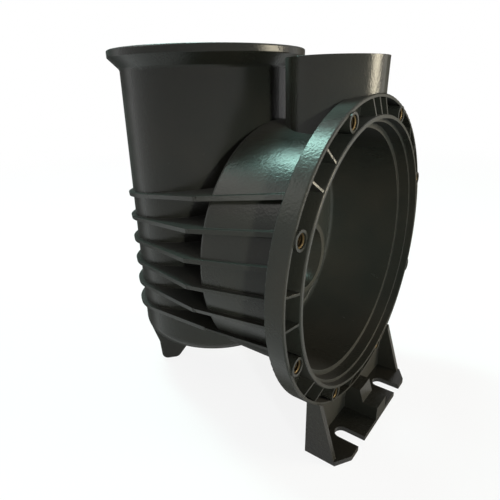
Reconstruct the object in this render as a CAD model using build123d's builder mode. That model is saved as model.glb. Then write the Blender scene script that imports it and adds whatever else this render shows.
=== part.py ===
"""Volute pump casing: strainer pot, volute drum, motor flange, discharge port and foot.

Millimetres. X is the pump axis and points out of the motor flange, Z is up. The origin is
where the pump axis meets the plane of the flange's outer lip. The casing is one moulding
with threaded inserts set into its flange.
"""

import os
from math import cos, radians, sin, sqrt

from build123d import *

# Motor flange
FLANGE_R = 120.7  # outer radius
FLANGE_DEPTH = 14.0  # depth of the outer band, front to back
LIP_WALL = 2.5  # wall of the outer lip
GROOVE_WIDTH = 11.6  # open groove between the lip and the bore ring
GROOVE_DEPTH = 9.0
RING_WALL = 2.7  # wall of the bore ring
RING_PROUD = 3.5  # the ring stands in front of the lip by this much
REGISTER_DEPTH = 5.8  # bore that centres the motor side, from the ring's front edge
SEAT_STEP = 2.5  # the second step is this much smaller than the register
SEAT_DEPTH = 9.0  # from the register's floor
SHOULDER = 4.4  # the drum's hollow is this much smaller than the second step
EDGE_ROUND = 0.9  # rounding of the band's edges and of the ring's front

# Insert bosses and webs in the groove
INSERT_COUNT = 8
BOSS_WALL = 1.7  # plastic round each insert
BOSS_PROUD = 1.3  # the bosses stand in front of the lip by this much
INSERT_BORE_R = 3.4
INSERT_WALL = 1.6
INSERT_LENGTH = 11.0
INSERT_RECESS = 1.0  # the inserts lie this far below the bosses' faces
INSERT_GROOVE = 0.6
INSERT_CHAMFER = 0.7
WEB_ANGLE = 5.6  # a pair of webs stands this far either side of its middle
WEB_THICK = 1.6
WEB_BELOW_LIP = 0.3  # a web's front edge starts this far below the lip
WEB_BELOW_RING = 1.0  # and climbs to this far below the ring's front

# Volute drum
DRUM_WALL = 4.2
DRUM_LENGTH = 86.0  # from the lip's plane to the drum's back
DRUM_BACK_WALL = 5.0
DRUM_ROUND = 4.0

# Strainer pot
POT_R = 75.5  # outside of the wall under the rim
POT_IN_DRUM = 2.3  # the pot's wall runs this far into the drum's back
POT_DRAFT = 0.8  # the wall's radius falls by this much at the bottom
POT_WALL = 4.6
POT_TOP = 155.0
POT_BOTTOM = -104.0
POT_FLOOR = 6.0
POT_ROUND = 12.0
RIM_OUT = 9.2  # the rim stands this far out from the wall
RIM_LIP = 5.6  # height of the rim's upright edge
RIM_FLARE = 9.0  # height of the slope under it
RIM_COVE = 3.0
RIM_ROUND = 1.2
MOUTH_OUT = 1.5  # the lid's seat is this much wider than the wall's outside
MOUTH_DEPTH = 9.0

# Passage from the pot to the impeller's eye
EYE_R = 28.0
EYE_WALL = 4.8
EYE_Z = -15.0
EYE_FRONT = -54.0
NECK_WALL = 9.0

# Stiffening ribs round the pot and along the drum
RIB_COUNT = 6
RIB_TOP_Z = 42.5  # the highest rib, where it crosses the pot's axis
RIB_STEP = 21.6
RIB_THICK = 3.2
RIB_SLOPE = 8.0  # degrees, rising towards the flange
RIB_HEIGHT = 3.8
RIB_OVERHANG = 8.0  # the ribs' corners stand this far behind the drum

# Discharge port, straight up
DISCHARGE_X = -34.5
DISCHARGE_RISE = 24.1  # the pipe's top above the flange
DISCHARGE_WALL = 8.7  # at the top
DISCHARGE_TAPER = 3.0  # the outside is this much smaller at the pump axis's height
PORT_STEP = 6.3  # the waterway under the thread is this much smaller than the thread

# Both ports are tapped for a 2 inch pipe thread
PORT_BORE_R = 28.3
PORT_DEPTH = 22.0

# Suction port on the pot's far end
SUCTION_Z = 70.0
SUCTION_WALL = 6.7
SUCTION_PROUD = 4.2
SUCTION_CHAMFER = 2.0

# Foot under the flange
BASE_Z = -146.6
FOOT_FRONT = 25.0
FOOT_BACK = -9.2
FOOT_THICK = 4.2
FOOT_HALF = 71.2
EAR_CUT = 13.1  # the front corners are cut off by this much across
EAR_LENGTH = 8.2  # and by this much along the foot
EAR_ROUND = 2.5
SLOT_Y = 39.8
SLOT_WIDTH = 12.4
SLOT_END = 1.6
GUSSET_THICK = 4.5
GUSSET_LEAN = 15.4  # the gussets' front edges lean back by this much up to the flange
WEB_PLATE = 5.0  # upright plate along the foot's back
KEEL_HALF = 10.0
KEEL_HEIGHT = 16.0
KEEL_LENGTH = 12.9
SEAT_IN_LIP = 1.0  # the foot's walls run this far into the flange's lip

# Rear legs under the pot: radial plates with a blunt toe
LEG_ANGLE = 130.0  # either side of the pump axis's +X direction
LEG_THICK = 12.0
LEG_TOP_IN = 12.0  # radius from the pot's axis
LEG_TOE_LENGTH = 16.5
LEG_TOE_INSET = 12.0  # insets are from the pot's wall
LEG_HEEL_INSET = 10.3
LEG_HEEL_SHARE = 0.55  # the heel's height, as a share of the leg's height
LEG_TOP_INSET = 4.5
LEG_SHOULDER = 2.6  # the leg's outer top corner is this far below the pot
TOE_ROUND = 6.5

# The flange's circles, from the outside in
groove_r = FLANGE_R - LIP_WALL
ring_r = groove_r - GROOVE_WIDTH
register_r = ring_r - RING_WALL
seat_r = register_r - SEAT_STEP
drum_hollow_r = seat_r - SHOULDER
drum_r = drum_hollow_r + DRUM_WALL

insert_r = INSERT_BORE_R + INSERT_WALL
insert_pitch_r = ring_r + GROOVE_WIDTH / 2
insert_face = BOSS_PROUD - INSERT_RECESS
insert_step = 360 / INSERT_COUNT

drum_back = -DRUM_LENGTH
rib_corner_x = drum_back - RIB_OVERHANG
rib_heights = [RIB_TOP_Z - n * RIB_STEP for n in range(RIB_COUNT)]

pot_x = drum_back + POT_IN_DRUM - POT_R
rim_r = POT_R + RIM_OUT
mouth_r = POT_R + MOUTH_OUT
pot_plane = Plane(origin=(pot_x, 0, 0), x_dir=(1, 0, 0), z_dir=(0, -1, 0))
pot_axis = Axis((pot_x, 0, 0), (0, 0, 1))

discharge_top = FLANGE_R + DISCHARGE_RISE
discharge_r = PORT_BORE_R + DISCHARGE_WALL
outlet_r = PORT_BORE_R - PORT_STEP
suction_face = pot_x - POT_R - SUCTION_PROUD
suction_boss_r = PORT_BORE_R + SUCTION_WALL


def rib_plane(height):
    """The sloping plane of one rib; height is where it crosses the pot's axis."""
    slope = radians(RIB_SLOPE)
    return Plane(
        origin=(pot_x, 0, height),
        x_dir=(cos(slope), 0, sin(slope)),
        z_dir=(-sin(slope), 0, cos(slope)),
    )


def rib_corner_y(height):
    """Half width of a rib where it leaves the drum's back corner for the pot."""
    rise = (rib_corner_x - pot_x) * sin(radians(RIB_SLOPE))
    return sqrt((drum_r + RIB_HEIGHT) ** 2 - (height + rise) ** 2)


def leg_plane(turn):
    """The upright plane through the pot's axis that holds one leg's outline."""
    return Plane(
        origin=(pot_x, 0, 0),
        x_dir=(cos(radians(turn)), sin(radians(turn)), 0),
        z_dir=(sin(radians(turn)), -cos(radians(turn)), 0),
    )


def flange_plane(turn):
    """The plane through the pump axis that holds one web's outline; turn is from +Y."""
    return Plane(
        origin=(0, 0, 0),
        x_dir=(1, 0, 0),
        z_dir=(0, -sin(radians(turn)), cos(radians(turn))),
    )


# Ribs along the drum: sloping plates trimmed to a slightly larger drum
with BuildPart() as drum_ribs:
    for height in rib_heights:
        with BuildSketch(rib_plane(height)):
            with Locations(((rib_corner_x - FLANGE_DEPTH) / 2 - pot_x, 0)):
                Rectangle(-FLANGE_DEPTH - rib_corner_x, 4 * drum_r)
        extrude(amount=RIB_THICK / 2, both=True)
    with BuildSketch(Plane.YZ.offset(2 * pot_x)):
        Circle(drum_r + RIB_HEIGHT)
    extrude(amount=-2 * pot_x, mode=Mode.INTERSECT)

# Ribs round the pot: each wraps the wall and runs straight to the drum's corners
with BuildPart() as pot_ribs:
    for height in rib_heights:
        reach = (rib_corner_x - pot_x) / cos(radians(RIB_SLOPE))
        with BuildSketch(rib_plane(height)):
            Circle(POT_R + RIB_HEIGHT)
            with Locations((reach - RIB_THICK / 2, 0)):
                Rectangle(RIB_THICK, 2 * rib_corner_y(height))
            make_hull()
        extrude(amount=RIB_THICK / 2, both=True)

# Foot: slotted plate, two gussets, back web and middle keel, trimmed to the flange's band
foot_top = -sqrt((FLANGE_R - SEAT_IN_LIP) ** 2 - FOOT_HALF**2)
ear_half = FOOT_HALF - EAR_CUT
ear_back = FOOT_FRONT - EAR_LENGTH
gusset_top_x = ear_back - GUSSET_LEAN
with BuildPart() as foot:
    with BuildSketch(Plane.XY.offset(BASE_Z)):
        with BuildLine():
            Polyline(
                (FOOT_BACK, -FOOT_HALF),
                (ear_back, -FOOT_HALF),
                (FOOT_FRONT, -ear_half),
                (FOOT_FRONT, ear_half),
                (ear_back, FOOT_HALF),
                (FOOT_BACK, FOOT_HALF),
                close=True,
            )
        make_face()
        fillet(vertices().group_by(Axis.X)[-1], EAR_ROUND)
        with Locations((FOOT_FRONT, -SLOT_Y), (FOOT_FRONT, SLOT_Y)):
            SlotOverall(2 * (FOOT_FRONT - SLOT_END), SLOT_WIDTH, mode=Mode.SUBTRACT)
    extrude(amount=FOOT_THICK)
    with BuildSketch(Plane.XZ.offset(FOOT_HALF - GUSSET_THICK), Plane.XZ.offset(-FOOT_HALF)):
        with BuildLine():
            Polyline(
                (FOOT_BACK, BASE_Z),
                (ear_back, BASE_Z),
                (gusset_top_x, foot_top),
                (FOOT_BACK, foot_top),
                close=True,
            )
        make_face()
    extrude(amount=GUSSET_THICK)
    with BuildSketch(Plane.YZ.offset(FOOT_BACK)):
        with Locations((0, (BASE_Z + foot_top) / 2)):
            Rectangle(2 * FOOT_HALF, foot_top - BASE_Z)
    extrude(amount=WEB_PLATE)
    with BuildSketch(Plane.XZ.offset(-KEEL_HALF)):
        keel_top = BASE_Z + KEEL_HEIGHT
        with BuildLine():
            Polyline(
                (FOOT_BACK, BASE_Z),
                (FOOT_FRONT, BASE_Z),
                (FOOT_FRONT, keel_top),
                (FOOT_FRONT - KEEL_LENGTH, keel_top),
                (gusset_top_x, foot_top),
                (FOOT_BACK, foot_top),
                close=True,
            )
        make_face()
    extrude(amount=2 * KEEL_HALF)
    with BuildSketch(Plane.YZ.offset(-FLANGE_R)):
        Circle(FLANGE_R - SEAT_IN_LIP)
    extrude(amount=2 * FLANGE_R, mode=Mode.SUBTRACT)

# Rear legs: plates standing along the pot's radii, rounded at the toe
leg_top = POT_BOTTOM + POT_FLOOR / 2
leg_shoulder = POT_BOTTOM - LEG_SHOULDER
leg_heel = BASE_Z + LEG_HEEL_SHARE * (leg_shoulder - BASE_Z)
leg_toe_r = POT_R - LEG_TOE_INSET
leg_top_r = POT_R - LEG_TOP_INSET
with BuildPart() as legs:
    for turn in (-LEG_ANGLE, LEG_ANGLE):
        with BuildSketch(leg_plane(turn)):
            with BuildLine():
                Polyline(
                    (LEG_TOP_IN, leg_top),
                    (leg_toe_r - LEG_TOE_LENGTH, BASE_Z),
                    (leg_toe_r, BASE_Z),
                    (POT_R - LEG_HEEL_INSET, leg_heel),
                    (leg_top_r, leg_shoulder),
                    (leg_top_r - POT_ROUND / 2, leg_top),
                    close=True,
                )
            make_face()
            fillet(vertices().group_by(Axis.Y)[0], TOE_ROUND)
        extrude(amount=LEG_THICK / 2, both=True)

# Thin webs across the groove: pairs midway between the bosses and one more at the top
web_turns = [n * insert_step + side * WEB_ANGLE for n in range(INSERT_COUNT) for side in (-1, 1)]
web_inner = ring_r - RING_WALL / 2
web_outer = groove_r + LIP_WALL / 2
with BuildPart() as webs:
    for turn in web_turns + [90]:
        with BuildSketch(flange_plane(turn)):
            with BuildLine():
                Polyline(
                    (-GROOVE_DEPTH, web_inner),
                    (RING_PROUD - WEB_BELOW_RING, web_inner),
                    (RING_PROUD - WEB_BELOW_RING, ring_r),
                    (-WEB_BELOW_LIP, groove_r),
                    (-WEB_BELOW_LIP, web_outer),
                    (-GROOVE_DEPTH, web_outer),
                    close=True,
                )
            make_face()
        extrude(amount=WEB_THICK / 2, both=True)

# One threaded insert: a barrel with a retaining groove and a chamfered bore
with BuildPart() as insert:
    with BuildSketch(Plane.XZ):
        with BuildLine():
            Polyline(
                (INSERT_BORE_R, 0),
                (insert_r, 0),
                (insert_r, -INSERT_LENGTH / 3),
                (insert_r - INSERT_GROOVE, -INSERT_LENGTH / 2),
                (insert_r, -2 * INSERT_LENGTH / 3),
                (insert_r, -INSERT_LENGTH),
                (INSERT_BORE_R, -INSERT_LENGTH),
                close=True,
            )
        make_face()
        chamfer(vertices().group_by(Axis.Y)[-1].sort_by(Axis.X)[0], INSERT_CHAMFER)
    revolve(axis=Axis.Z)

# The ring of inserts, set below the faces of their bosses
with BuildPart() as flange_inserts:
    with Locations(Plane.YZ.offset(insert_face)):
        with PolarLocations(insert_pitch_r, INSERT_COUNT, start_angle=insert_step / 2):
            add(insert.part)

with BuildPart() as casing:
    # Pot with its flared rim, turned about the pot's axis
    with BuildSketch(pot_plane):
        with BuildLine():
            Polyline(
                (0, POT_BOTTOM),
                (POT_R - POT_DRAFT, POT_BOTTOM),
                (POT_R, POT_TOP - RIM_LIP - RIM_FLARE),
                (rim_r, POT_TOP - RIM_LIP),
                (rim_r, POT_TOP),
                (0, POT_TOP),
                close=True,
            )
        make_face()
        fillet(vertices().group_by(Axis.X)[-1], RIM_ROUND)
        fillet(vertices().sort_by_distance((POT_R, POT_TOP - RIM_LIP - RIM_FLARE, 0))[0], RIM_COVE)
        fillet(vertices().sort_by_distance((POT_R, POT_BOTTOM, 0))[0], POT_ROUND)
    revolve(axis=pot_axis)

    # Drum lying along the pump axis, its back edge rounded
    with BuildSketch(Plane.XZ):
        with BuildLine():
            Polyline((0, 0), (drum_back, 0), (drum_back, drum_r), (0, drum_r), close=True)
        make_face()
        fillet(vertices().group_by(Axis.X)[0].sort_by(Axis.Y)[-1], DRUM_ROUND)
    revolve(axis=Axis.X)

    # Neck between drum and pot, round the passage to the eye
    with BuildSketch(Plane.YZ.offset(pot_x)):
        with Locations((0, EYE_Z)):
            Circle(EYE_R + NECK_WALL)
    extrude(amount=drum_back + DRUM_BACK_WALL - pot_x)

    add(drum_ribs.part)
    add(pot_ribs.part)

    # Discharge pipe on the drum's crown
    with Locations((DISCHARGE_X, 0, 0)):
        Cone(
            discharge_r - DISCHARGE_TAPER,
            discharge_r,
            discharge_top,
            align=(Align.CENTER, Align.CENTER, Align.MIN),
        )

    # Room for the flange, so that nothing behind it stands in its groove
    with BuildSketch(Plane.YZ.offset(-FLANGE_DEPTH)):
        Circle(FLANGE_R)
    extrude(amount=2 * FLANGE_DEPTH, mode=Mode.SUBTRACT)

    # Flange: outer band, groove and bore ring
    with BuildSketch(Plane.XZ):
        with BuildLine():
            Polyline(
                (-FLANGE_DEPTH, 0),
                (-FLANGE_DEPTH, FLANGE_R),
                (0, FLANGE_R),
                (0, groove_r),
                (-GROOVE_DEPTH, groove_r),
                (-GROOVE_DEPTH, ring_r),
                (RING_PROUD, ring_r),
                (RING_PROUD, 0),
                close=True,
            )
        make_face()
        fillet(vertices().group_by(Axis.Y)[-1], EDGE_ROUND)
        fillet(vertices().group_by(Axis.X)[-1].sort_by(Axis.Y)[-1], EDGE_ROUND)
    revolve(axis=Axis.X)
    add(foot.part)

    add(legs.part)

    # Hollow of the pot, with the lid's seat
    with BuildSketch(pot_plane):
        with BuildLine():
            Polyline(
                (0, POT_BOTTOM + POT_FLOOR),
                (POT_R - POT_DRAFT - POT_WALL, POT_BOTTOM + POT_FLOOR),
                (POT_R - POT_WALL, POT_TOP - MOUTH_DEPTH),
                (mouth_r, POT_TOP - MOUTH_DEPTH),
                (mouth_r, POT_TOP),
                (0, POT_TOP),
                close=True,
            )
        make_face()
        fillet(vertices().group_by(Axis.X)[1], POT_ROUND - POT_WALL / 2)
    revolve(axis=pot_axis, mode=Mode.SUBTRACT)

    # Hollow of the drum, stepped twice at the flange
    with BuildSketch(Plane.XZ):
        register_floor = RING_PROUD - REGISTER_DEPTH
        with BuildLine():
            Polyline(
                (RING_PROUD, 0),
                (RING_PROUD, register_r),
                (register_floor, register_r),
                (register_floor, seat_r),
                (register_floor - SEAT_DEPTH, seat_r),
                (register_floor - SEAT_DEPTH, drum_hollow_r),
                (drum_back + DRUM_BACK_WALL, drum_hollow_r),
                (drum_back + DRUM_BACK_WALL, 0),
                close=True,
            )
        make_face()
        fillet(vertices().group_by(Axis.X)[0].sort_by(Axis.Y)[-1], DRUM_ROUND)
    revolve(axis=Axis.X, mode=Mode.SUBTRACT)

    # Spigot round the eye, and the passage from the pot
    with BuildSketch(Plane.YZ.offset(drum_back)):
        with Locations((0, EYE_Z)):
            Circle(EYE_R + EYE_WALL)
    extrude(amount=EYE_FRONT - drum_back)
    with BuildSketch(Plane.YZ.offset(pot_x)):
        with Locations((0, EYE_Z)):
            Circle(EYE_R)
    extrude(amount=EYE_FRONT - pot_x, mode=Mode.SUBTRACT)

    # Suction port: a short boss outside, a sleeve inside, and the tapping bore
    with BuildSketch(Plane.YZ.offset(suction_face)):
        with Locations((0, SUCTION_Z)):
            Circle(suction_boss_r)
    extrude(amount=PORT_DEPTH)
    chamfer(faces().filter_by(Axis.X).sort_by(Axis.X)[0].edges(), SUCTION_CHAMFER)
    with BuildSketch(Plane.YZ.offset(suction_face)):
        with Locations((0, SUCTION_Z)):
            Circle(PORT_BORE_R)
    extrude(amount=PORT_DEPTH, mode=Mode.SUBTRACT)

    # Discharge: the tapping bore and a smaller waterway through the drum's wall
    with BuildSketch(Plane.XY.offset(discharge_top)):
        with Locations((DISCHARGE_X, 0)):
            Circle(PORT_BORE_R)
    extrude(amount=-PORT_DEPTH, mode=Mode.SUBTRACT)
    with BuildSketch(Plane.XY.offset(discharge_top)):
        with Locations((DISCHARGE_X, 0)):
            Circle(outlet_r)
    extrude(amount=-discharge_top / 2, mode=Mode.SUBTRACT)

    # Insert bosses in the flange's groove
    with BuildSketch(Plane.YZ.offset(-GROOVE_DEPTH)):
        with PolarLocations(insert_pitch_r, INSERT_COUNT, start_angle=insert_step / 2):
            Circle(insert_r + BOSS_WALL)
        Circle(groove_r + LIP_WALL / 2, mode=Mode.INTERSECT)
        Circle(ring_r - RING_WALL / 2, mode=Mode.SUBTRACT)
    extrude(amount=GROOVE_DEPTH + BOSS_PROUD)

    add(webs.part)

    # The moulding closes round each insert and leaves its bore free
    add(flange_inserts.part, mode=Mode.SUBTRACT)
    with BuildSketch(Plane.YZ.offset(insert_face)):
        with PolarLocations(insert_pitch_r, INSERT_COUNT, start_angle=insert_step / 2):
            Circle((INSERT_BORE_R + insert_r) / 2)
    extrude(amount=-INSERT_LENGTH, mode=Mode.SUBTRACT)
    with BuildSketch(Plane.YZ.offset(insert_face)):
        with PolarLocations(insert_pitch_r, INSERT_COUNT, start_angle=insert_step / 2):
            Circle(insert_r)
    extrude(amount=INSERT_RECESS, mode=Mode.SUBTRACT)

os.makedirs("parts", exist_ok=True)

casing.part.label = "casing"
export_step(casing.part, "parts/casing.step")

flange_inserts.part.label = "flange_inserts"
export_step(flange_inserts.part, "parts/flange_inserts.step")
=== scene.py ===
"""Looks for the volute pump casing: black moulded plastic with brass inserts, on white paper."""

from math import cos, pi, radians, sin

import bmesh
import bpy
from mathutils import Matrix, Vector


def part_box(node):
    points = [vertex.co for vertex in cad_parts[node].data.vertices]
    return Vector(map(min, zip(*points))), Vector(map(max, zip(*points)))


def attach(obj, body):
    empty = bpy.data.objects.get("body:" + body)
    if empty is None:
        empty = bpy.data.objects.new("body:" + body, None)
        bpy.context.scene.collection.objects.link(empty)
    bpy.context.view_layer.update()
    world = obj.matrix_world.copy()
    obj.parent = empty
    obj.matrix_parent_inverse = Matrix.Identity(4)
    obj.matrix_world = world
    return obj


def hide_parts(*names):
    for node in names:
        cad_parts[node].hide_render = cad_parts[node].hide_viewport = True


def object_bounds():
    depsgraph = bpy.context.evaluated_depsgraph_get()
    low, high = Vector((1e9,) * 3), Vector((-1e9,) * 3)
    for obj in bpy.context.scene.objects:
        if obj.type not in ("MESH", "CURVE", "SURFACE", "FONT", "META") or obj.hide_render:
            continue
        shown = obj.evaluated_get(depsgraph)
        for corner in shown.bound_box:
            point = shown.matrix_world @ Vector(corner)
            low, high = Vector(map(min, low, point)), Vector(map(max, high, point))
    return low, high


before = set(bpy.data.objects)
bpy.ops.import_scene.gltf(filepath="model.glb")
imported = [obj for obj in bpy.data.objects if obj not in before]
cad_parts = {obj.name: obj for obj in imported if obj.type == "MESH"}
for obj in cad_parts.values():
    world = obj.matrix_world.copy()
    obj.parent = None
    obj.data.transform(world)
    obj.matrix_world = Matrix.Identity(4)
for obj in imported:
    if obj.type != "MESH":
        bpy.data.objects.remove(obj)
cad_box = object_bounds()
scene = bpy.context.scene
scene.view_settings.view_transform = "Standard"

# Camera: stands beside the motor flange, a little lower than the pot's rim, and looks down
# on the casing at the photograph's angle. Yaw, pitch and roll are in radians.
VIEW_FROM = Vector((0.1180, -0.3051, 0.1262))
VIEW_YAW = 0.6536
VIEW_PITCH = 0.3647
VIEW_ROLL = -0.0159
SENSOR_WIDTH = 36
LENS = 30.88
CLIP_NEAR = 0.01

forward = Vector(
    (-sin(VIEW_YAW) * cos(VIEW_PITCH), cos(VIEW_YAW) * cos(VIEW_PITCH), -sin(VIEW_PITCH))
)
level = Vector((cos(VIEW_YAW), sin(VIEW_YAW), 0))
plumb = level.cross(forward)
across = cos(VIEW_ROLL) * level + sin(VIEW_ROLL) * plumb
upward = cos(VIEW_ROLL) * plumb - sin(VIEW_ROLL) * level
view_turn = Matrix((across, upward, -forward)).transposed().to_4x4()

camera_data = bpy.data.cameras.new("camera")
camera_data.sensor_width = SENSOR_WIDTH
camera_data.lens = LENS
camera_data.clip_start = CLIP_NEAR
camera = bpy.data.objects.new("camera", camera_data)
scene.collection.objects.link(camera)
camera.matrix_world = Matrix.Translation(VIEW_FROM) @ view_turn
scene.camera = camera


# Floor: a wide sheet of white paper under the foot and the toes of the rear legs. It looks
# white to the eye and in reflections, keeps a soft shadow under the casing, and turns to
# plain white further off.
FLOOR_Z = cad_box[0][2]
FLOOR_HALF = 6.0
PAPER_COLOUR = (0.8, 0.8, 0.8, 1)
WHITE = (1, 1, 1, 1)
WHITE_SHARE_NEAR = 0.86
SHADOWED_TO = 0.35
PLAIN_WHITE_FROM = 2.0


def link_nodes(tree, pairs):
    """Joins output sockets to input sockets, given as pairs."""
    for source, target in pairs:
        tree.links.new(source, target)


def seen_as_background(tree):
    """One for rays that look at the background: straight, mirrored or through glass."""
    ray = tree.nodes.new("ShaderNodeLightPath")
    seen = ray.outputs["Is Camera Ray"]
    for kind in ("Is Glossy Ray", "Is Transmission Ray"):
        either = tree.nodes.new("ShaderNodeMath")
        either.operation = "MAXIMUM"
        link_nodes(tree, [(seen, either.inputs[0]), (ray.outputs[kind], either.inputs[1])])
        seen = either.outputs[0]
    return seen


floor_mesh = bpy.data.meshes.new("floor")
floor_mesh.from_pydata(
    [(x, y, FLOOR_Z) for x, y in ((-1, -1), (1, -1), (1, 1), (-1, 1))], [], [(0, 1, 2, 3)]
)
floor_mesh.transform(Matrix.Diagonal((FLOOR_HALF, FLOOR_HALF, 1, 1)))
floor = bpy.data.objects.new("floor", floor_mesh)
scene.collection.objects.link(floor)

floor_paint = bpy.data.materials.new("floor_paper")
floor_paint.use_nodes = True
tree = floor_paint.node_tree
tree.nodes.clear()
paper = tree.nodes.new("ShaderNodeBsdfDiffuse")
paper.inputs["Color"].default_value = PAPER_COLOUR
glow = tree.nodes.new("ShaderNodeEmission")
glow.inputs["Color"].default_value = WHITE
place = tree.nodes.new("ShaderNodeTexCoord")
reach = tree.nodes.new("ShaderNodeVectorMath")
reach.operation = "LENGTH"
bleach = tree.nodes.new("ShaderNodeMapRange")
bleach.interpolation_type = "SMOOTHSTEP"
bleach.inputs["From Min"].default_value = SHADOWED_TO
bleach.inputs["From Max"].default_value = PLAIN_WHITE_FROM
bleach.inputs["To Min"].default_value = WHITE_SHARE_NEAR
share = tree.nodes.new("ShaderNodeMath")
share.operation = "MULTIPLY"
blend = tree.nodes.new("ShaderNodeMixShader")
out = tree.nodes.new("ShaderNodeOutputMaterial")
link_nodes(
    tree,
    [
        (place.outputs["Object"], reach.inputs[0]),
        (reach.outputs["Value"], bleach.inputs["Value"]),
        (seen_as_background(tree), share.inputs[0]),
        (bleach.outputs["Result"], share.inputs[1]),
        (share.outputs[0], blend.inputs[0]),
        (paper.outputs[0], blend.inputs[1]),
        (glow.outputs[0], blend.inputs[2]),
        (blend.outputs[0], out.inputs["Surface"]),
    ],
)
floor.data.materials.append(floor_paint)


# Studio light: a white room, lit softly from overhead. A cool panel with a greener halo hangs
# high behind the pot, a warm panel stands off the flange's far side, a weak one fills the
# pot's left, and a lamp that reflections don't show looks into the bore.
OVERHEAD = Vector((-0.55, -0.2, 0.8)).normalized()
OVERHEAD_EDGE = 0.1
OVERHEAD_CORE = 0.95
ROOM_DIM = 0.22
ROOM_BRIGHT = 0.95

world = bpy.data.worlds.new("studio")
scene.world = world
world.use_nodes = True
tree = world.node_tree
tree.nodes.clear()
white = tree.nodes.new("ShaderNodeBackground")
white.inputs["Color"].default_value = WHITE
room = tree.nodes.new("ShaderNodeBackground")
blend = tree.nodes.new("ShaderNodeMixShader")
out = tree.nodes.new("ShaderNodeOutputWorld")
heading = tree.nodes.new("ShaderNodeTexCoord")
turned_up = tree.nodes.new("ShaderNodeVectorMath")
turned_up.operation = "DOT_PRODUCT"
turned_up.inputs[1].default_value = OVERHEAD
overhead = tree.nodes.new("ShaderNodeMapRange")
overhead.interpolation_type = "SMOOTHSTEP"
overhead.inputs["From Min"].default_value = OVERHEAD_EDGE
overhead.inputs["From Max"].default_value = OVERHEAD_CORE
overhead.inputs["To Min"].default_value = ROOM_DIM
overhead.inputs["To Max"].default_value = ROOM_BRIGHT
link_nodes(
    tree,
    [
        (heading.outputs["Generated"], turned_up.inputs[0]),
        (turned_up.outputs["Value"], overhead.inputs["Value"]),
        (overhead.outputs["Result"], room.inputs["Strength"]),
        (seen_as_background(tree), blend.inputs[0]),
        (room.outputs[0], blend.inputs[1]),
        (white.outputs[0], blend.inputs[2]),
        (blend.outputs[0], out.inputs["Surface"]),
    ],
)

COOL = (0.58, 1.0, 0.90)
GREEN = (0.45, 1.0, 0.88)
WARM = (1.0, 0.90, 0.68)
CREAM = (1.0, 0.98, 0.92)


def stand_lamp(name, lamp, spot, back):
    """Puts a lamp at a spot, with its back turned along one direction: it shines the other way."""
    lamp_object = bpy.data.objects.new(name, lamp)
    scene.collection.objects.link(lamp_object)
    lamp_object.location = spot
    lamp_object.rotation_mode = "QUATERNION"
    lamp_object.rotation_quaternion = back.to_track_quat("Z", "Y")
    return lamp_object


def panel(name, turn, rise, distance, width, height, power, colour):
    """A soft light panel that faces the casing; turn and rise are its heading in degrees."""
    lamp = bpy.data.lights.new(name, "AREA")
    lamp.shape = "RECTANGLE"
    lamp.size = width
    lamp.size_y = height
    lamp.energy = power
    lamp.color = colour
    flat = cos(radians(rise))
    side = Vector((cos(radians(turn)) * flat, sin(radians(turn)) * flat, sin(radians(rise))))
    stand_lamp(name, lamp, side * distance, side)


panel("cool_panel", turn=177, rise=59, distance=1.6, width=0.28, height=0.90, power=25, colour=COOL)
panel("cool_halo", turn=186, rise=58, distance=1.6, width=0.52, height=0.90, power=5, colour=GREEN)
panel("warm_panel", turn=29, rise=9, distance=1.5, width=0.60, height=0.5, power=25, colour=WARM)
panel("left_fill", turn=218, rise=42, distance=1.6, width=0.9, height=0.5, power=3, colour=CREAM)

BORE_LAMP_PLACE = Vector((1.15, -0.75, 0.30))
BORE_LAMP_AIM = Vector((-0.03, 0.02, 0.0))
BORE_LAMP_POWER = 500
BORE_LAMP_COLOUR = (0.90, 1.0, 0.99)
BORE_LAMP_R = 0.12
BORE_LAMP_SOFT_EDGE = 0.35
LIT_R = 0.106

bore_reach = BORE_LAMP_PLACE - BORE_LAMP_AIM
bore_lamp = bpy.data.lights.new("bore_lamp", "SPOT")
bore_lamp.energy = BORE_LAMP_POWER
bore_lamp.color = BORE_LAMP_COLOUR
bore_lamp.shadow_soft_size = BORE_LAMP_R
bore_lamp.spot_blend = BORE_LAMP_SOFT_EDGE
bore_lamp.spot_size = 2 * LIT_R / bore_reach.length
bore_lamp_object = stand_lamp("bore_lamp", bore_lamp, BORE_LAMP_PLACE, bore_reach)
bore_lamp_object.visible_glossy = False


# Casing: one moulding in black glass-filled plastic. Its skin is finely grained, a little
# patchy in sheen where the melt flowed, and matt where it turns away from the eye. Sharp
# edges are painted paler in colour, a painted highlight along them.
GRAIN_SCALE = 640.0
GRAIN_DETAIL = 2.0
PATCH_SCALE = 14.0
PATCH_DETAIL = 4.0
PATCH_ROUGHNESS = 0.6
FLOW_SCALE = 60.0
FLOW_STRETCH = (0.35, 1.0, 1.0)
FLOW_DETAIL = 5.0
FLOW_ROUGHNESS = 0.65
FLOW_SWIRL = 0.6


def new_group(name, inputs, outputs):
    """An empty shader node group with named number sockets."""
    group = bpy.data.node_groups.new(name, "ShaderNodeTree")
    for label, value in inputs:
        socket = group.interface.new_socket(label, in_out="INPUT", socket_type="NodeSocketFloat")
        socket.default_value = value
    for label in outputs:
        group.interface.new_socket(label, in_out="OUTPUT", socket_type="NodeSocketFloat")
    return group, group.nodes.new("NodeGroupInput"), group.nodes.new("NodeGroupOutput")


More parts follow.
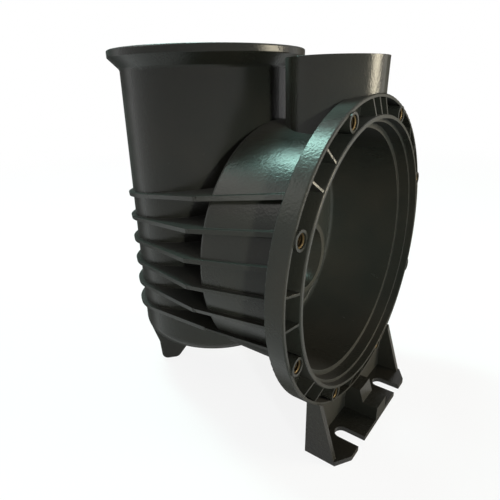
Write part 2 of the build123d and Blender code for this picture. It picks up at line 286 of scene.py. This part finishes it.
grain, given, made = new_group(
    "moulded_grain",
    [("Grain Scale", GRAIN_SCALE), ("Patch Scale", PATCH_SCALE), ("Flow Scale", FLOW_SCALE)],
    ["Grain", "Patch", "Flow"],
)
place = grain.nodes.new("ShaderNodeTexCoord")
fine = grain.nodes.new("ShaderNodeTexNoise")
fine.inputs["Detail"].default_value = GRAIN_DETAIL
patch = grain.nodes.new("ShaderNodeTexNoise")
patch.inputs["Detail"].default_value = PATCH_DETAIL
patch.inputs["Roughness"].default_value = PATCH_ROUGHNESS
stretch = grain.nodes.new("ShaderNodeMapping")
stretch.inputs["Scale"].default_value = FLOW_STRETCH
flow = grain.nodes.new("ShaderNodeTexNoise")
flow.inputs["Detail"].default_value = FLOW_DETAIL
flow.inputs["Roughness"].default_value = FLOW_ROUGHNESS
flow.inputs["Distortion"].default_value = FLOW_SWIRL
link_nodes(
    grain,
    [
        (place.outputs["Object"], fine.inputs["Vector"]),
        (place.outputs["Object"], patch.inputs["Vector"]),
        (place.outputs["Object"], stretch.inputs["Vector"]),
        (stretch.outputs[0], flow.inputs["Vector"]),
        (given.outputs["Grain Scale"], fine.inputs["Scale"]),
        (given.outputs["Patch Scale"], patch.inputs["Scale"]),
        (given.outputs["Flow Scale"], flow.inputs["Scale"]),
        (fine.outputs["Fac"], made.inputs["Grain"]),
        (patch.outputs["Fac"], made.inputs["Patch"]),
        (flow.outputs["Fac"], made.inputs["Flow"]),
    ],
)

PLASTIC_DARK = (0.0052, 0.0072, 0.0064, 1)
PLASTIC_PALE = (0.0182, 0.0148, 0.0108, 1)
# Paler colour painted along sharp edges as a painted highlight.
PLASTIC_EDGE_HIGHLIGHT = (0.024, 0.022, 0.018, 1)
PLASTIC_IOR = 1.5
PLASTIC_GLOSS = 0.22
FLOW_LOW = 0.3
FLOW_HIGH = 0.7
SHEEN_SMOOTH = 0.18
SHEEN_DULL = 0.28
GLANCE_FROM = 0.48
GLANCE_FULL = 0.80
GLANCING_MATT = 0.7
WAVE_STRENGTH = 0.04
WAVE_HEIGHT = 0.0012
PIT_STRENGTH = 0.6
PIT_HEIGHT = 0.0003

# An edge shows where the softened normal leans away from the face's own: the cosine
# between the two falls from EDGE_FROM to EDGE_FULL. Along these edges the colour is
# painted paler, as a painted highlight.
EDGE_RADIUS = 0.0003
EDGE_SAMPLES = 6
EDGE_FROM = 0.995
EDGE_FULL = 0.90
EDGE_HIGHLIGHT_SHARE = 0.6

plastic = bpy.data.materials.new("black_moulded_plastic")
plastic.use_nodes = True
tree = plastic.node_tree
skin = tree.nodes["Principled BSDF"]
skin.inputs["IOR"].default_value = PLASTIC_IOR
skin.inputs["Specular IOR Level"].default_value = PLASTIC_GLOSS

texture = tree.nodes.new("ShaderNodeGroup")
texture.node_tree = grain

tint = tree.nodes.new("ShaderNodeMix")
tint.data_type = "RGBA"
tint.inputs["A"].default_value = PLASTIC_DARK
tint.inputs["B"].default_value = PLASTIC_PALE

soft_edge = tree.nodes.new("ShaderNodeBevel")
soft_edge.samples = EDGE_SAMPLES
soft_edge.inputs["Radius"].default_value = EDGE_RADIUS
facing = tree.nodes.new("ShaderNodeNewGeometry")
turned = tree.nodes.new("ShaderNodeVectorMath")
turned.operation = "DOT_PRODUCT"
edge = tree.nodes.new("ShaderNodeMapRange")
edge.inputs["From Min"].default_value = EDGE_FROM
edge.inputs["From Max"].default_value = EDGE_FULL
edge.inputs["To Max"].default_value = EDGE_HIGHLIGHT_SHARE
# Painted highlight: the edge mask, broken up by the flow noise, mixes the colour toward a paler one
# along sharp edges.
broken_edge_highlight = tree.nodes.new("ShaderNodeMath")
broken_edge_highlight.operation = "MULTIPLY"
edge_highlight_tint = tree.nodes.new("ShaderNodeMix")
edge_highlight_tint.data_type = "RGBA"
edge_highlight_tint.inputs["B"].default_value = PLASTIC_EDGE_HIGHLIGHT

sheen = tree.nodes.new("ShaderNodeMapRange")
sheen.inputs["From Min"].default_value = FLOW_LOW
sheen.inputs["From Max"].default_value = FLOW_HIGH
sheen.inputs["To Min"].default_value = SHEEN_SMOOTH
sheen.inputs["To Max"].default_value = SHEEN_DULL
glance = tree.nodes.new("ShaderNodeLayerWeight")
matt = tree.nodes.new("ShaderNodeMapRange")
matt.interpolation_type = "SMOOTHSTEP"
matt.inputs["From Min"].default_value = GLANCE_FROM
matt.inputs["From Max"].default_value = GLANCE_FULL
matt.inputs["To Max"].default_value = GLANCING_MATT
rough = tree.nodes.new("ShaderNodeMath")
rough.operation = "ADD"

waves = tree.nodes.new("ShaderNodeBump")
waves.inputs["Strength"].default_value = WAVE_STRENGTH
waves.inputs["Distance"].default_value = WAVE_HEIGHT
pits = tree.nodes.new("ShaderNodeBump")
pits.inputs["Strength"].default_value = PIT_STRENGTH
pits.inputs["Distance"].default_value = PIT_HEIGHT
link_nodes(
    tree,
    [
        (texture.outputs["Patch"], tint.inputs["Factor"]),
        (soft_edge.outputs[0], turned.inputs[0]),
        (facing.outputs["Normal"], turned.inputs[1]),
        (turned.outputs["Value"], edge.inputs["Value"]),
        (edge.outputs["Result"], broken_edge_highlight.inputs[0]),
        (texture.outputs["Flow"], broken_edge_highlight.inputs[1]),
        (broken_edge_highlight.outputs[0], edge_highlight_tint.inputs["Factor"]),
        (tint.outputs["Result"], edge_highlight_tint.inputs["A"]),
        (edge_highlight_tint.outputs["Result"], skin.inputs["Base Color"]),
        (texture.outputs["Flow"], sheen.inputs["Value"]),
        (glance.outputs["Facing"], matt.inputs["Value"]),
        (sheen.outputs["Result"], rough.inputs[0]),
        (matt.outputs["Result"], rough.inputs[1]),
        (rough.outputs[0], skin.inputs["Roughness"]),
        (soft_edge.outputs[0], waves.inputs["Normal"]),
        (texture.outputs["Flow"], waves.inputs["Height"]),
        (waves.outputs[0], pits.inputs["Normal"]),
        (texture.outputs["Grain"], pits.inputs["Height"]),
        (pits.outputs[0], skin.inputs["Normal"]),
    ],
)

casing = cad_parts["casing"]
casing.data.materials.clear()
casing.data.materials.append(plastic)


# Flange inserts: turned brass bushes with an M8 thread, moulded into the flange's bosses a
# millimetre below their faces, and gone brown. One bush is turned and set round the flange.
INSERT_COUNT = 8
INSERT_PITCH_R = 0.1124
INSERT_FACE_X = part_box("flange_inserts")[1][0]
INSERT_R = 0.0050
INSERT_LENGTH = 0.011
THREAD_MINOR_R = 0.0034
THREAD_MAJOR_R = 0.0040
THREAD_PITCH = 0.00125
MOUTH_CHAMFER = 0.0006
MOUTH_R = THREAD_MAJOR_R + MOUTH_CHAMFER / 3
FACE_BEVEL = 0.0002
SIDES = 40
STEPS_PER_TURN = 5

bush_mesh = bpy.data.meshes.new("threaded_bush")
bush = bmesh.new()
thread_steps = int(INSERT_LENGTH / THREAD_PITCH * STEPS_PER_TURN)


def bush_ring(radius_at, x_at):
    """One ring of points round the bush's axis, which is X."""
    ring = []
    for side in range(SIDES):
        angle = 2 * pi * side / SIDES
        r = radius_at(angle)
        ring.append(bush.verts.new((x_at, r * cos(angle), r * sin(angle))))
    return ring


def round_ring(r, x_at):
    """One true circle of points round the bush's axis."""
    return bush_ring(lambda angle: r, x_at)


def thread_ring(depth):
    """One ring of the thread, a V that climbs once a turn and rises from nothing at the mouth."""
    fade = min(1.0, max(0.0, (depth - MOUTH_CHAMFER) / THREAD_PITCH))

    def thread_radius(angle):
        phase = (depth / THREAD_PITCH + angle / (2 * pi)) % 1.0
        rise = 1 - abs(2 * phase - 1)
        return THREAD_MINOR_R + (THREAD_MAJOR_R - THREAD_MINOR_R) * rise * fade

    return bush_ring(thread_radius, -depth)


rings = [
    round_ring(THREAD_MINOR_R, -INSERT_LENGTH),
    round_ring(INSERT_R, -INSERT_LENGTH),
    round_ring(INSERT_R, -FACE_BEVEL),
    round_ring(INSERT_R - FACE_BEVEL, 0),
    round_ring(MOUTH_R, 0),
]
for step in range(thread_steps):
    depth = MOUTH_CHAMFER + (INSERT_LENGTH - 2 * MOUTH_CHAMFER) * step / (thread_steps - 1)
    rings.append(thread_ring(depth))
for near, far in zip(rings, rings[1:] + rings[:1]):
    for side in range(SIDES):
        after = (side + 1) % SIDES
        bush.faces.new((near[side], near[after], far[after], far[side]))
bmesh.ops.recalc_face_normals(bush, faces=bush.faces)
for face in bush.faces:
    face.smooth = True
bush.to_mesh(bush_mesh)
bush.free()
radial = bush_mesh.attributes.new("turned_r", "FLOAT", "POINT")
for point, vertex in zip(radial.data, bush_mesh.vertices):
    point.value = Vector((vertex.co.y, vertex.co.z)).length
bush_object = bpy.data.objects.new("threaded_bush", bush_mesh)
scene.collection.objects.link(bush_object)

BRASS_BRIGHT = (0.13, 0.092, 0.042, 1)
BRASS_DULL = (0.032, 0.024, 0.015, 1)
BRASS_SMOOTH = 0.30
BRASS_ROUGH = 0.58
TARNISH_SCALE = 260.0
DULLING_SCALE = 500.0
TOOL_FEED = 0.00018
TOOL_MARK_STRENGTH = 0.25
TOOL_MARK_DEPTH = 0.00003

brass = bpy.data.materials.new("turned_brass")
brass.use_nodes = True
tree = brass.node_tree
metal = tree.nodes["Principled BSDF"]
metal.inputs["Metallic"].default_value = 1.0
texture = tree.nodes.new("ShaderNodeGroup")
texture.node_tree = grain
texture.inputs["Patch Scale"].default_value = TARNISH_SCALE
texture.inputs["Flow Scale"].default_value = DULLING_SCALE
tarnish = tree.nodes.new("ShaderNodeMix")
tarnish.data_type = "RGBA"
tarnish.inputs["A"].default_value = BRASS_BRIGHT
tarnish.inputs["B"].default_value = BRASS_DULL
dull = tree.nodes.new("ShaderNodeMapRange")
dull.inputs["To Min"].default_value = BRASS_SMOOTH
dull.inputs["To Max"].default_value = BRASS_ROUGH
radius_here = tree.nodes.new("ShaderNodeAttribute")
radius_here.attribute_name = "turned_r"
feed = tree.nodes.new("ShaderNodeMath")
feed.operation = "MULTIPLY"
feed.inputs[1].default_value = 2 * pi / TOOL_FEED
lines = tree.nodes.new("ShaderNodeMath")
lines.operation = "SINE"
cut = tree.nodes.new("ShaderNodeBump")
cut.inputs["Strength"].default_value = TOOL_MARK_STRENGTH
cut.inputs["Distance"].default_value = TOOL_MARK_DEPTH
link_nodes(
    tree,
    [
        (texture.outputs["Patch"], tarnish.inputs["Factor"]),
        (tarnish.outputs["Result"], metal.inputs["Base Color"]),
        (texture.outputs["Flow"], dull.inputs["Value"]),
        (dull.outputs["Result"], metal.inputs["Roughness"]),
        (radius_here.outputs["Fac"], feed.inputs[0]),
        (feed.outputs[0], lines.inputs[0]),
        (lines.outputs[0], cut.inputs["Height"]),
        (cut.outputs[0], metal.inputs["Normal"]),
    ],
)

# The circle of bushes is drawn flat, turned by its start angle, and stood up to face +X
FLAT_TO_FLANGE = (pi / 2, 0, pi / 2)

ring_tree = bpy.data.node_groups.new("bushes_round_flange", "GeometryNodeTree")
for label, kind in (
    ("Count", "NodeSocketInt"),
    ("Pitch Radius", "NodeSocketFloat"),
    ("Start Angle", "NodeSocketFloat"),
    ("Face X", "NodeSocketFloat"),
    ("Bush", "NodeSocketObject"),
    ("Material", "NodeSocketMaterial"),
):
    ring_tree.interface.new_socket(label, in_out="INPUT", socket_type=kind)
ring_tree.interface.new_socket("Geometry", in_out="OUTPUT", socket_type="NodeSocketGeometry")
given = ring_tree.nodes.new("NodeGroupInput")
made = ring_tree.nodes.new("NodeGroupOutput")
circle = ring_tree.nodes.new("GeometryNodeMeshCircle")
turn = ring_tree.nodes.new("ShaderNodeCombineXYZ")
spin = ring_tree.nodes.new("GeometryNodeTransform")
stand = ring_tree.nodes.new("GeometryNodeTransform")
stand.inputs["Rotation"].default_value = FLAT_TO_FLANGE
shift = ring_tree.nodes.new("ShaderNodeCombineXYZ")
source = ring_tree.nodes.new("GeometryNodeObjectInfo")
copies = ring_tree.nodes.new("GeometryNodeInstanceOnPoints")
real = ring_tree.nodes.new("GeometryNodeRealizeInstances")
paint = ring_tree.nodes.new("GeometryNodeSetMaterial")
link_nodes(
    ring_tree,
    [
        (given.outputs["Count"], circle.inputs["Vertices"]),
        (given.outputs["Pitch Radius"], circle.inputs["Radius"]),
        (given.outputs["Start Angle"], turn.inputs["Z"]),
        (circle.outputs["Mesh"], spin.inputs["Geometry"]),
        (turn.outputs[0], spin.inputs["Rotation"]),
        (spin.outputs["Geometry"], stand.inputs["Geometry"]),
        (given.outputs["Face X"], shift.inputs["X"]),
        (shift.outputs[0], stand.inputs["Translation"]),
        (stand.outputs["Geometry"], copies.inputs["Points"]),
        (given.outputs["Bush"], source.inputs["Object"]),
        (source.outputs["Geometry"], copies.inputs["Instance"]),
        (copies.outputs["Instances"], real.inputs["Geometry"]),
        (real.outputs["Geometry"], paint.inputs["Geometry"]),
        (given.outputs["Material"], paint.inputs["Material"]),
        (paint.outputs["Geometry"], made.inputs["Geometry"]),
    ],
)


def grown(name, node_tree, values):
    """The plain mesh that a node tree makes from named values, as a new object."""
    seed_object = bpy.data.objects.new(name + "_seed", bpy.data.meshes.new(name + "_seed"))
    scene.collection.objects.link(seed_object)
    modifier = seed_object.modifiers.new("grow", "NODES")
    modifier.node_group = node_tree
    for item in node_tree.interface.items_tree:
        if item.in_out == "INPUT" and item.name in values:
            modifier[item.identifier] = values[item.name]
    bpy.context.view_layer.update()
    evaluated = seed_object.evaluated_get(bpy.context.evaluated_depsgraph_get())
    mesh = bpy.data.meshes.new_from_object(evaluated)
    mesh.name = name
    bpy.data.objects.remove(seed_object)
    piece = bpy.data.objects.new(name, mesh)
    scene.collection.objects.link(piece)
    return piece


inserts = grown(
    "brass_inserts",
    ring_tree,
    {
        "Count": INSERT_COUNT,
        "Pitch Radius": INSERT_PITCH_R,
        "Start Angle": pi / INSERT_COUNT,
        "Face X": INSERT_FACE_X,
        "Bush": bush_object,
        "Material": brass,
    },
)
bpy.data.objects.remove(bush_object)
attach(inserts, "root")
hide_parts("flange_inserts")
